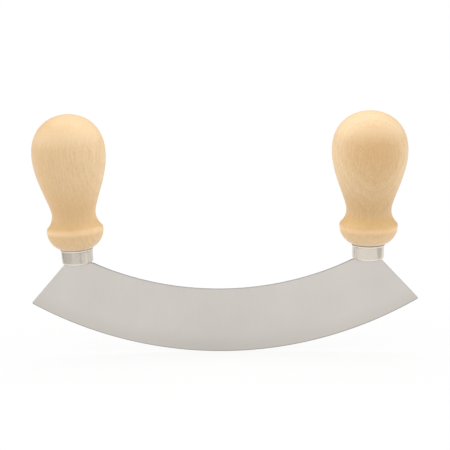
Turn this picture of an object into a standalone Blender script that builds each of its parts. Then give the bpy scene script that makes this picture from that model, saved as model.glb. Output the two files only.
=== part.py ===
"""Rocking pizza knife: a crescent blade whose two tangs are set with resin in turned beech handles.

The knife stands on its cutting edge. X runs along the blade, Y through its thickness and Z up, and the
origin is the lowest point of the edge. Each handle stands on a shoulder of the blade: heights along its
axis start at that shoulder, and radii and distances across are measured from the axis.
"""

import math

import bmesh
import bpy
from mathutils import Vector

MM = 0.001

# Blade
BLADE_LENGTH = 230.0 * MM
BLADE_DEPTH = 38.5 * MM
BLADE_THICKNESS = 1.5 * MM
EDGE_RISE = 31.0 * MM
SPINE_RISE = 16.7 * MM
TIP_ROUND = 0.8 * MM
RIM_BREAK = 0.2 * MM

# Grind, on both faces of the blade
GRIND_HEIGHT = 11.0 * MM
HONE_HEIGHT = 0.9 * MM
HONE_ANGLE = math.radians(13.5)
EDGE_THICKNESS = 0.12 * MM

# Shoulders and tangs, in one piece with the blade
HANDLE_INSET = 29.3 * MM
HANDLE_LEAN = math.radians(1.9)
SHOULDER_OUTER_REACH = 7.9 * MM
SHOULDER_ROUND = 0.5 * MM
TANG_ROOT_WIDTH = 7.4 * MM
TANG_ROOT_FILLET = 1.0 * MM
TANG_END_WIDTH = 5.6 * MM
TANG_POINT_WIDTH = 2.6 * MM
TANG_POINT_LENGTH = 1.6 * MM
NOTCH_RADIUS = 1.1 * MM
NOTCH_PITCH = 9.0 * MM
FIRST_NOTCH_HEIGHT = 16.0 * MM
LAST_NOTCH_MARGIN = 8.0 * MM

# Ferrule, a drawn cup with a hole in its floor for the tang
FERRULE_HEIGHT = 9.0 * MM
FERRULE_WALL = 0.8 * MM
FERRULE_FLARE = 0.2 * MM
FERRULE_CORNER_ROUND = 1.5 * MM
FERRULE_HOLE_CLEARANCE = 1.3 * MM
RIM_BEAD_HEIGHT = 1.1 * MM
RIM_BEAD_SWELL = 0.25 * MM

# Turned handle
BASE_OVERHANG = 0.15 * MM
BEAD_RISE = 11.2 * MM
BEAD_TOP_ROUND = 1.2 * MM
COVE_RADIUS = 11.0 * MM
COVE_DEPTH = 3.9 * MM
NECK_RADIUS = 13.0 * MM
NECK_TO_BULB = 35.4 * MM
BULB_RADIUS = 21.9 * MM
CROWN_RISE = 23.1 * MM

# What the copying lathe left between the two: the left handle is this much longer than drawn and this
# much slimmer at the bulb's radius, and the right one is as much shorter and stouter
HANDLE_LENGTH_SPREAD = 0.9 * MM
HANDLE_GIRTH_SPREAD = 0.15 * MM

# How far each curve's control points lie from its ends, as shares of its rise, or of its reach at the top
NECK_FULLNESS = 0.19
BULB_FULLNESS = 0.41
CROWN_SIDE_FULLNESS = 0.69
CROWN_TOP_FULLNESS = 0.49

# Drilled hole in the handle, and the resin that fills it round the tang
TENON_WALL = 2.7 * MM
BORE_CLEARANCE = 1.65 * MM
BORE_CHAMFER = 0.4 * MM
DRILL_POINT_ANGLE = math.radians(118.0)
WOOD_OVER_TANG = 38.0 * MM
RESIN_SETBACK = 0.5 * MM
RESIN_OVER_TANG = 2.0 * MM
BORE_OVER_RESIN = 2.0 * MM
RESIN_TOP_CHAMFER = 0.6 * MM

# Clearance left between neighbouring pieces
SEAT_GAP = 0.3 * MM

# Facets
EDGE_ARC_STEPS = 16
SPINE_ARC_STEPS = 10
HANDLE_STEPS = 48
FERRULE_STEPS = 32
RESIN_STEPS = 24
BEAD_STEPS = 6
COVE_STEPS = 5
NECK_STEPS = 10
CROWN_STEPS = 12
NOTCH_STEPS = 6
CORNER_STEPS = 3
MERGE_DISTANCE = 0.001 * MM
CUTTER_MARGIN = 2.0 * MM
SHARP_ANGLE = math.radians(30.0)

# Sizes that follow from the ones above
EDGE_RADIUS = ((BLADE_LENGTH / 2) ** 2 + EDGE_RISE**2) / (2 * EDGE_RISE)
EDGE_ANGLE = math.atan2(BLADE_LENGTH / 2, EDGE_RADIUS - EDGE_RISE)
BORE_RADIUS = math.hypot(TANG_ROOT_WIDTH, BLADE_THICKNESS) / 2 + BORE_CLEARANCE
FERRULE_BOTTOM_RADIUS = BORE_RADIUS + TENON_WALL + SEAT_GAP + FERRULE_WALL
FERRULE_TOP_RADIUS = FERRULE_BOTTOM_RADIUS + FERRULE_FLARE
FERRULE_BASE = SEAT_GAP
FERRULE_TOP = FERRULE_BASE + FERRULE_HEIGHT
HANDLE_SHOULDER = FERRULE_TOP + SEAT_GAP
BASE_RADIUS = FERRULE_TOP_RADIUS + RIM_BEAD_SWELL + BASE_OVERHANG
BEAD_RADIUS = NECK_RADIUS + COVE_DEPTH
BEAD_HEIGHT = HANDLE_SHOULDER + BEAD_RISE
COVE_ANGLE = math.acos(1 - COVE_DEPTH / (BEAD_TOP_ROUND + COVE_RADIUS))
NECK_HEIGHT = BEAD_HEIGHT + (BEAD_TOP_ROUND + COVE_RADIUS) * math.sin(COVE_ANGLE)
BULB_HEIGHT = NECK_HEIGHT + NECK_TO_BULB
HANDLE_TOP = BULB_HEIGHT + CROWN_RISE
TENON_END = FERRULE_BASE + FERRULE_WALL + SEAT_GAP
TANG_LENGTH = HANDLE_TOP - WOOD_OVER_TANG
RESIN_END = TANG_LENGTH + RESIN_OVER_TANG
BORE_END = RESIN_END + BORE_OVER_RESIN

# Colours as linear RGB
STEEL_COLOUR = (0.60, 0.58, 0.55)
NICKEL_COLOUR = (0.68, 0.63, 0.55)
BEECH_COLOUR = (0.80, 0.60, 0.37)
RESIN_COLOUR = (0.42, 0.27, 0.11)

SIDES = {"left": -1, "right": 1}


def clear_scene():
    """Remove whatever the file held before."""
    for old in list(bpy.data.objects):
        bpy.data.objects.remove(old, do_unlink=True)


def principled(name, colour, roughness, metallic):
    """A Principled material of one colour."""
    material = bpy.data.materials.new(name)
    material.use_nodes = True
    shader = material.node_tree.nodes["Principled BSDF"]
    shader.inputs["Base Color"].default_value = (*colour, 1.0)
    shader.inputs["Roughness"].default_value = roughness
    shader.inputs["Metallic"].default_value = metallic
    return material


def arc(centre, radius, start, end, steps):
    """Points on a circle from one angle to another, both ends included."""
    turns = [start + (end - start) * i / steps for i in range(steps + 1)]
    return [centre + radius * Vector((math.cos(turn), math.sin(turn))) for turn in turns]


def bezier(start, start_control, end_control, end, steps):
    """Points on a cubic curve, both ends included."""
    points = []
    for i in range(steps + 1):
        t = i / steps
        s = 1 - t
        points.append(
            s**3 * start + 3 * s**2 * t * start_control + 3 * s * t**2 * end_control + t**3 * end
        )
    return points


def rounded(before, corner, after, radius):
    """The points of a tangent arc in place of a corner, or the corner alone where no radius is left."""
    if radius <= 0:
        return [corner]
    back = (before - corner).normalized()
    ahead = (after - corner).normalized()
    half = back.angle(ahead) / 2
    centre = corner + (back + ahead).normalized() * radius / math.sin(half)
    first = corner + back * radius / math.tan(half) - centre
    start = math.atan2(first.y, first.x)
    turn = math.copysign(math.pi - 2 * half, -back.cross(ahead))
    return arc(centre, radius, start, start + turn, CORNER_STEPS)


def grown(outline, distance):
    """A closed outline that runs anticlockwise, with each side moved outward by a distance."""
    moved = []
    for i, point in enumerate(outline):
        arriving = (point - outline[i - 1]).normalized()
        leaving = (outline[(i + 1) % len(outline)] - point).normalized()
        normal = Vector((arriving.y + leaving.y, -arriving.x - leaving.x))
        moved.append(point + normal * distance / (1 + arriving.dot(leaving)))
    return moved


def plate(outline, thickness):
    """A flat plate whose outline lies in XZ, centred on Y = 0."""
    bm = bmesh.new()
    face = bm.faces.new([bm.verts.new((p.x, -thickness / 2, p.y)) for p in outline])
    extruded = bmesh.ops.extrude_face_region(bm, geom=[face])["geom"]
    far_side = [item for item in extruded if isinstance(item, bmesh.types.BMVert)]
    bmesh.ops.translate(bm, verts=far_side, vec=(0, thickness, 0))
    return bm


def turned(profile, steps, ring=False):
    """A profile of (radius, height) points spun round Z, closed on itself where it makes a ring."""
    bm = bmesh.new()
    points = [bm.verts.new((p.x, 0, p.y)) for p in profile]
    ends = points[1:] + points[:1] if ring else points[1:]
    lines = [bm.edges.new(pair) for pair in zip(points, ends)]
    bmesh.ops.spin(
        bm, geom=points + lines, cent=(0, 0, 0), axis=(0, 0, 1), angle=math.tau, steps=steps
    )
    bmesh.ops.remove_doubles(bm, verts=bm.verts, dist=MERGE_DISTANCE)
    return bm


def solid_mesh(name, bm, material):
    """A bmesh written to a mesh, facing out, shaded smooth between its sharp edges."""
    bmesh.ops.recalc_face_normals(bm, faces=bm.faces)
    mesh = bpy.data.meshes.new(name)
    bm.to_mesh(mesh)
    bm.free()
    mesh.shade_smooth()
    mesh.set_sharp_from_angle(angle=SHARP_ANGLE)
    mesh.materials.append(material)
    return mesh


def place(name, mesh, parent=None):
    """An object that shows a mesh, which others may share."""
    placed = bpy.data.objects.new(name, mesh)
    bpy.context.scene.collection.objects.link(placed)
    placed.parent = parent
    return placed


def cut(body, cutter):
    """Take a cutter's volume out of a body, and keep the cutter itself out of the model."""
    difference = body.modifiers.new(cutter.name, "BOOLEAN")
    difference.operation = "DIFFERENCE"
    difference.solver = "EXACT"
    difference.object = cutter
    cutter.hide_render = True
    cutter.display_type = "WIRE"


def across_shoulder(reach):
    """The point of the right shoulder at a distance outward from the handle's axis, in XZ."""
    spine_end_x = BLADE_LENGTH / 2 - HANDLE_INSET - FERRULE_BOTTOM_RADIUS * math.cos(HANDLE_LEAN)
    spine_end = Vector((spine_end_x, BLADE_DEPTH + SPINE_RISE))
    outward = Vector((math.cos(HANDLE_LEAN), -math.sin(HANDLE_LEAN)))
    return spine_end + (FERRULE_BOTTOM_RADIUS + reach) * outward


def on_right_handle(point):
    """An (across, height) point of the right handle, in XZ."""
    along = Vector((math.sin(HANDLE_LEAN), math.cos(HANDLE_LEAN)))
    return across_shoulder(point.x) + point.y * along


def tang_side(height):
    """The tang's outer side at a height, before its notches and its point."""
    taper = (TANG_ROOT_WIDTH - TANG_END_WIDTH) / 2 / TANG_LENGTH
    return Vector((TANG_ROOT_WIDTH / 2 - taper * height, height))


def tang_outline():
    """A tang as (across, height) points, up its outer side from the root fillet and down its inner one."""
    shoulder = Vector((SHOULDER_OUTER_REACH, 0))
    point_start = tang_side(TANG_LENGTH - TANG_POINT_LENGTH)
    side = rounded(shoulder, tang_side(0), point_start, TANG_ROOT_FILLET)
    height = FIRST_NOTCH_HEIGHT
    while height <= TANG_LENGTH - LAST_NOTCH_MARGIN:
        side += arc(tang_side(height), NOTCH_RADIUS, -math.pi / 2, -3 * math.pi / 2, NOTCH_STEPS)
        height += NOTCH_PITCH
    side += [point_start, Vector((TANG_POINT_WIDTH / 2, TANG_LENGTH))]
    return side + [Vector((-p.x, p.y)) for p in reversed(side)]


def blade_outline():
    """The blade with its tangs, anticlockwise from the middle of the edge as seen from -Y."""
    edge_centre = Vector((0, EDGE_RADIUS))
    edge = arc(edge_centre, EDGE_RADIUS, -math.pi / 2, EDGE_ANGLE - math.pi / 2, EDGE_ARC_STEPS)
    tip = edge.pop()
    shoulder = across_shoulder(SHOULDER_OUTER_REACH)
    tang = [on_right_handle(point) for point in tang_outline()]
    spine_end = across_shoulder(-FERRULE_BOTTOM_RADIUS)
    spine_radius = (spine_end.x**2 + SPINE_RISE**2) / (2 * SPINE_RISE)
    spine_angle = math.atan2(spine_end.x, spine_radius - SPINE_RISE)
    spine_centre = Vector((0, BLADE_DEPTH + spine_radius))
    spine = arc(
        spine_centre, spine_radius, spine_angle - math.pi / 2, -math.pi / 2, SPINE_ARC_STEPS
    )
    half = edge + rounded(edge[-1], tip, shoulder, TIP_ROUND)
    half += rounded(tip, shoulder, tang[0], SHOULDER_ROUND) + tang + spine
    return half + [Vector((-p.x, p.y)) for p in reversed(half[1:-1])]


def break_rims(bm):
    """Take the sharp corner off both rims of a plate."""
    rims = [edge for edge in bm.edges if abs(edge.verts[0].co.y - edge.verts[1].co.y) < MERGE_DISTANCE]
    bmesh.ops.bevel(bm, geom=rims, offset=RIM_BREAK, segments=1, profile=0.5, affect="EDGES")


def grind_cutter(side):
    """What the wheel takes off one face: its section swept along the edge, past both tips."""
    hone_slope = math.tan(HONE_ANGLE)
    hone_half = EDGE_THICKNESS / 2 + HONE_HEIGHT * hone_slope
    grind_slope = (BLADE_THICKNESS / 2 - hone_half) / (GRIND_HEIGHT - HONE_HEIGHT)
    past_edge = EDGE_THICKNESS / 4 / hone_slope
    clear_of_face = BLADE_THICKNESS / 2 + CUTTER_MARGIN
    section = [
        (GRIND_HEIGHT + CUTTER_MARGIN, BLADE_THICKNESS / 2 + CUTTER_MARGIN * grind_slope),
        (HONE_HEIGHT, hone_half),
        (-past_edge, EDGE_THICKNESS / 4),
        (-CUTTER_MARGIN, EDGE_THICKNESS / 4),
        (-CUTTER_MARGIN, clear_of_face),
        (GRIND_HEIGHT + CUTTER_MARGIN, clear_of_face),
    ]
    step = EDGE_ANGLE / EDGE_ARC_STEPS
    start = EDGE_ANGLE + step
    bm = bmesh.new()
    corners = []
    for inside_edge, from_middle in section:
        radius = EDGE_RADIUS - inside_edge
        across = radius * math.sin(start)
        corners.append(bm.verts.new((across, side * from_middle, EDGE_RADIUS - radius * math.cos(start))))
    face = bm.faces.new(corners)
    bmesh.ops.spin(
        bm,
        geom=[face],
        cent=(0, 0, EDGE_RADIUS),
        axis=(0, 1, 0),
        angle=2 * start,
        steps=2 * EDGE_ARC_STEPS + 2,
    )
    return bm


def add_blade(steel):
    """The blade: a plate with broken rims, ground on both faces."""
    bm = plate(blade_outline(), BLADE_THICKNESS)
    break_rims(bm)
    blade = place("blade", solid_mesh("blade", bm, steel))
    for face_name, side in (("front", -1), ("back", 1)):
        name = f"{face_name}_grind_cutter"
        cut(blade, place(name, solid_mesh(name, grind_cutter(side), steel)))


def ferrule_profile():
    """The ferrule's section, round from the hole in its floor by the outside and back down the inside."""
    hole = math.hypot(TANG_ROOT_WIDTH / 2 + TANG_ROOT_FILLET, BLADE_THICKNESS / 2)
    hole += FERRULE_HOLE_CLEARANCE
    floor_top = FERRULE_BASE + FERRULE_WALL
    hole_bottom = Vector((hole, FERRULE_BASE))
    hole_top = Vector((hole, floor_top))
    outer_corner = Vector((FERRULE_BOTTOM_RADIUS, FERRULE_BASE))
    bead_start = Vector((FERRULE_TOP_RADIUS, FERRULE_TOP - RIM_BEAD_HEIGHT))
    inner_top = Vector((FERRULE_TOP_RADIUS - FERRULE_WALL, FERRULE_TOP))
    inner_corner = Vector((FERRULE_BOTTOM_RADIUS - FERRULE_WALL, floor_top))
    bead_radius = (RIM_BEAD_HEIGHT**2 / 4 + RIM_BEAD_SWELL**2) / (2 * RIM_BEAD_SWELL)
    bead_angle = math.atan2(RIM_BEAD_HEIGHT / 2, bead_radius - RIM_BEAD_SWELL)
    bead_centre = Vector(
        (FERRULE_TOP_RADIUS + RIM_BEAD_SWELL - bead_radius, FERRULE_TOP - RIM_BEAD_HEIGHT / 2)
    )
    return (
        [hole_bottom]
        + rounded(hole_bottom, outer_corner, bead_start, FERRULE_CORNER_ROUND)
        + arc(bead_centre, bead_radius, -bead_angle, bead_angle, CORNER_STEPS + 1)
        + [inner_top]
        + rounded(inner_top, inner_corner, hole_top, FERRULE_CORNER_ROUND - FERRULE_WALL)
        + [hole_top]
    )


def as_turned(drawn, side):
    """A drawn outside as the lathe made it for the right handle (side 1) or the left one (side -1)."""
    stretch = 1 - side * HANDLE_LENGTH_SPREAD / (HANDLE_TOP - HANDLE_SHOULDER)
    girth = 1 + side * HANDLE_GIRTH_SPREAD / BULB_RADIUS
    return [Vector((p.x * girth, HANDLE_SHOULDER + (p.y - HANDLE_SHOULDER) * stretch)) for p in drawn]


def handle_outside():
    """The shape drawn for the lathe, from the shoulder on the ferrule up to the crown."""
    bead_drop = BEAD_RADIUS - BASE_RADIUS
    bead_arc_radius = (bead_drop**2 + BEAD_RISE**2) / (2 * bead_drop)
    bead_centre = Vector((BEAD_RADIUS - bead_arc_radius, BEAD_HEIGHT))
    bead_start = math.atan2(-BEAD_RISE, bead_arc_radius - bead_drop)
    top_round_centre = Vector((BEAD_RADIUS - BEAD_TOP_ROUND, BEAD_HEIGHT))
    cove_centre = Vector((NECK_RADIUS + COVE_RADIUS, NECK_HEIGHT))
    neck = Vector((NECK_RADIUS, NECK_HEIGHT))
    bulb = Vector((BULB_RADIUS, BULB_HEIGHT))
    crown = Vector((0, HANDLE_TOP))
    neck_control = neck + Vector((0, NECK_FULLNESS * NECK_TO_BULB))
    bulb_control = bulb - Vector((0, BULB_FULLNESS * NECK_TO_BULB))
    side_control = bulb + Vector((0, CROWN_SIDE_FULLNESS * CROWN_RISE))
    top_control = crown + Vector((CROWN_TOP_FULLNESS * BULB_RADIUS, 0))
    return (
        arc(bead_centre, bead_arc_radius, bead_start, 0, BEAD_STEPS)
        + arc(top_round_centre, BEAD_TOP_ROUND, 0, COVE_ANGLE, CORNER_STEPS)[1:]
        + arc(cove_centre, COVE_RADIUS, math.pi + COVE_ANGLE, math.pi, COVE_STEPS)[1:]
        + bezier(neck, neck_control, bulb_control, bulb, NECK_STEPS)[1:]
        + bezier(bulb, side_control, top_control, crown, CROWN_STEPS)[1:]
    )


def handle_profile(side):
    """A handle's section: down its drilled hole, round its tenon and up its turned outside."""
    drill_point = Vector((0, BORE_END + BORE_RADIUS / math.tan(DRILL_POINT_ANGLE / 2)))
    bore_end = Vector((BORE_RADIUS, BORE_END))
    chamfer_top = Vector((BORE_RADIUS, TENON_END + BORE_CHAMFER))
    chamfer_bottom = Vector((BORE_RADIUS + BORE_CHAMFER, TENON_END))
    tenon_corner = Vector((BORE_RADIUS + TENON_WALL, TENON_END))
    tenon_root = Vector((BORE_RADIUS + TENON_WALL + FERRULE_FLARE, HANDLE_SHOULDER))
    corner_round = FERRULE_CORNER_ROUND - FERRULE_WALL - SEAT_GAP
    return (
        [drill_point, bore_end, chamfer_top, chamfer_bottom]
        + rounded(chamfer_bottom, tenon_corner, tenon_root, corner_round)
        + [tenon_root]
        + as_turned(handle_outside(), side)
    )


def resin_profile():
    """The resin's section, from just inside the hole's mouth to above the tang's end."""
    radius = BORE_RADIUS - SEAT_GAP
    start = max(TENON_END + BORE_CHAMFER, TANG_ROOT_FILLET) + RESIN_SETBACK
    return [
        Vector((0, start)),
        Vector((radius, start)),
        Vector((radius, RESIN_END - RESIN_TOP_CHAMFER)),
        Vector((radius - RESIN_TOP_CHAMFER, RESIN_END)),
        Vector((0, RESIN_END)),
    ]


def add_handles(nickel, beech, resin):
    """A ferrule, a handle and its resin on each shoulder, each set from one empty on the handle's axis."""
    ferrule_mesh = solid_mesh("ferrule", turned(ferrule_profile(), FERRULE_STEPS, ring=True), nickel)
    resin_mesh = solid_mesh("tang_resin", turned(resin_profile(), RESIN_STEPS), resin)
    slot_bm = plate(grown(tang_outline(), SEAT_GAP), BLADE_THICKNESS + 2 * SEAT_GAP)
    slot_mesh = solid_mesh("tang_slot_cutter", slot_bm, resin)
    seat = across_shoulder(0)
    for side_name, side in SIDES.items():
        axis = place(f"{side_name}_handle_axis", None)
        axis.location = (side * seat.x, 0, seat.y)
        axis.rotation_euler = (0, side * HANDLE_LEAN, 0)
        place(f"{side_name}_ferrule", ferrule_mesh, axis)
        handle_bm = turned(handle_profile(side), HANDLE_STEPS)
        place(f"{side_name}_handle", solid_mesh(f"{side_name}_handle", handle_bm, beech), axis)
        tang_resin = place(f"{side_name}_tang_resin", resin_mesh, axis)
        cut(tang_resin, place(f"{side_name}_tang_slot_cutter", slot_mesh, axis))


def main():
    """Build the whole knife."""
    clear_scene()
    steel = principled("stainless_steel", STEEL_COLOUR, 0.34, 1.0)
    nickel = principled("nickel_plate", NICKEL_COLOUR, 0.22, 1.0)
    beech = principled("beech", BEECH_COLOUR, 0.48, 0.0)
    resin = principled("resin", RESIN_COLOUR, 0.30, 0.0)
    add_blade(steel)
    add_handles(nickel, beech, resin)


main()
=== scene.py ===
"""Studio picture of a rocking pizza knife: a satin steel crescent with two turned beech handles.

Lengths are real sizes in millimetres, turned into metres where a mesh or a texture needs them. The
blade lies in the XZ plane with the lowest point of its edge at the origin. Each handle has a Z axis of
its own, which starts at the blade's shoulder.
"""

import logging
import math
from dataclasses import dataclass
from enum import Enum

import bmesh
import bpy
from mathutils import Euler, Matrix, Vector


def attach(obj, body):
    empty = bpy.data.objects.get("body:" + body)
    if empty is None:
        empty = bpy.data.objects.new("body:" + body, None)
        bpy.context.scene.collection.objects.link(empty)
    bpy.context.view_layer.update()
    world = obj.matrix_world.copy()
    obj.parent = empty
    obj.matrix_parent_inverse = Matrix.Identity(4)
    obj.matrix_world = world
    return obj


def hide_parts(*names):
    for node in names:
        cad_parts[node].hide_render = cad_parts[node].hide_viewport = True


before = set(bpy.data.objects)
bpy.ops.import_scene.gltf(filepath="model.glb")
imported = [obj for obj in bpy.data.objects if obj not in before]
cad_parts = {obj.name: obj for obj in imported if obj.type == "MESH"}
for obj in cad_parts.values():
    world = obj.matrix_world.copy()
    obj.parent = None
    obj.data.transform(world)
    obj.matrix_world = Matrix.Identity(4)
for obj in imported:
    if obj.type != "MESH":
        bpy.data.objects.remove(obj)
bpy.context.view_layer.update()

MM = 0.001
WELD_MM = 0.001
MIDDLE = 0.5
FULL_TURN = 360.0
WHITE = (1.0, 1.0, 1.0, 1.0)
LOG = logging.getLogger("pizza_knife")
Colour = tuple[float, float, float, float]
Stops = tuple[tuple[float, float], ...]
Socket = bpy.types.NodeSocket
Sockets = dict[str, Socket]


class Side(Enum):
    """The two ends of the knife, as the camera sees them."""

    LEFT = -1
    RIGHT = 1

    @property
    def word(self) -> str:
        """The side's word in the names of its pieces."""
        return self.name.lower()


class Slot(Enum):
    """The record's material slots of the pieces that are made here."""

    STEEL = "stainless_steel"
    NICKEL = "nickel_plate"
    BEECH = "beech"


def grey(value: float) -> Colour:
    """Give a grey of one brightness."""
    return (value, value, value, 1.0)


# Outlines


def spread(start: float, end: float, steps: int) -> list[float]:
    """List evenly spaced numbers, both ends included."""
    return [start + (end - start) * i / steps for i in range(steps + 1)]


def hanging(turn: float) -> Vector:
    """Point straight down, swung to the right by an angle."""
    return Vector((math.sin(turn), -math.cos(turn)))


def arc(centre: Vector, radius: float, start: float, end: float, steps: int) -> list[Vector]:
    """Walk along a circle from one angle to another, and list the ends of the chords."""
    turns = spread(start, end, steps)
    return [centre + radius * Vector((math.cos(turn), math.sin(turn))) for turn in turns]


def bezier(start: Vector, leaving: Vector, arriving: Vector, end: Vector, steps: int) -> list[Vector]:
    """Walk along a cubic curve.

    Args:
        start: The first point.
        leaving: The control point that the curve leaves towards.
        arriving: The control point that the curve arrives from.
        end: The last point.
        steps: How many chords the walk has.

    Returns:
        The points, both ends included.
    """
    points = []
    for t in spread(0.0, 1.0, steps):
        s = 1 - t
        points.append(s**3 * start + 3 * s**2 * t * leaving + 3 * s * t**2 * arriving + t**3 * end)
    return points


def rounded(before: Vector, corner: Vector, after: Vector, radius: float, steps: int) -> list[Vector]:
    """Replace a corner of an outline with a tangent arc.

    Args:
        before: The point that the outline comes from.
        corner: The corner itself.
        after: The point that the outline goes to.
        radius: The arc's radius.
        steps: How many chords the arc has.

    Returns:
        The arc's points, both ends included.
    """
    back = (before - corner).normalized()
    ahead = (after - corner).normalized()
    half = back.angle(ahead) / 2
    centre = corner + (back + ahead).normalized() * radius / math.sin(half)
    first = corner + back * radius / math.tan(half) - centre
    start = math.atan2(first.y, first.x)
    turn = math.copysign(math.pi - 2 * half, -back.cross(ahead))
    return arc(centre, radius, start, start + turn, steps)


# Meshes and pieces


def finished_mesh(name: str, bm: bmesh.types.BMesh, sharp_angle: float) -> bpy.types.Mesh:
    """Turn a bmesh in millimetres into a mesh in metres that faces out.

    Args:
        name: The mesh's name.
        bm: The shape, which is freed here.
        sharp_angle: The bend in radians above which an edge shows.

    Returns:
        The mesh, shaded smooth between its sharp edges.
    """
    bmesh.ops.scale(bm, vec=(MM, MM, MM), verts=bm.verts)
    bmesh.ops.recalc_face_normals(bm, faces=bm.faces)
    mesh = bpy.data.meshes.new(name)
    bm.to_mesh(mesh)
    bm.free()
    mesh.shade_smooth()
    mesh.set_sharp_from_angle(angle=sharp_angle)
    return mesh


def turned(profile: list[Vector], steps: int, ring: bool) -> bmesh.types.BMesh:
    """Turn a profile once round the Z axis, with its corners and faces in the same order every time.

    Args:
        profile: Points of radius and height.
        steps: How many facets go round.
        ring: Whether the profile closes on itself, instead of on the axis.

    Returns:
        The closed shape.
    """
    bm = bmesh.new()
    turns = spread(0.0, math.tau, steps)[:-1]
    hoops = []
    for p in profile:
        places = [(p.x * math.cos(turn), p.x * math.sin(turn), p.y) for turn in turns]
        hoops.append([bm.verts.new(place) for place in (places if p.x > WELD_MM else places[:1])])
    for hoop, after in zip(hoops, hoops[1:] + hoops[:1] if ring else hoops[1:]):
        for i in range(steps):
            corners = [hoop[i % len(hoop)], hoop[(i + 1) % len(hoop)]]
            corners += [after[(i + 1) % len(after)], after[i % len(after)]]
            bm.faces.new(tuple(dict.fromkeys(corners)))
    return bm


def in_scene(name: str, data: bpy.types.ID) -> bpy.types.Object:
    """Stand a mesh, a lamp or a camera in the scene.

    Args:
        name: The object's name.
        data: What the object holds.

    Returns:
        The new object.
    """
    made = bpy.data.objects.new(name, data)
    bpy.context.scene.collection.objects.link(made)
    return made


@dataclass(frozen=True)
class Dressing:
    """What makes a mesh a piece of the knife: the CAD node it stands for and its material; its slot is not
    used here.
    """

    node: str
    slot: Slot
    material: bpy.types.Material

    def put_on(self, mesh: bpy.types.Mesh, place: Matrix) -> bpy.types.Object:
        """Make the piece, tie it to the frame and report it.

        Args:
            mesh: The piece's mesh, whose name it takes.
            place: Where the piece's own origin and axes lie.

        Returns:
            The new object.
        """
        mesh.materials.append(self.material)
        piece = in_scene(mesh.name, mesh)
        piece.matrix_world = place
        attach(piece, "root")
        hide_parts(self.node)
        LOG.info("%s: %d faces in place of %s", piece.name, len(mesh.polygons), self.node)
        return piece


# Node trees


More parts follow.
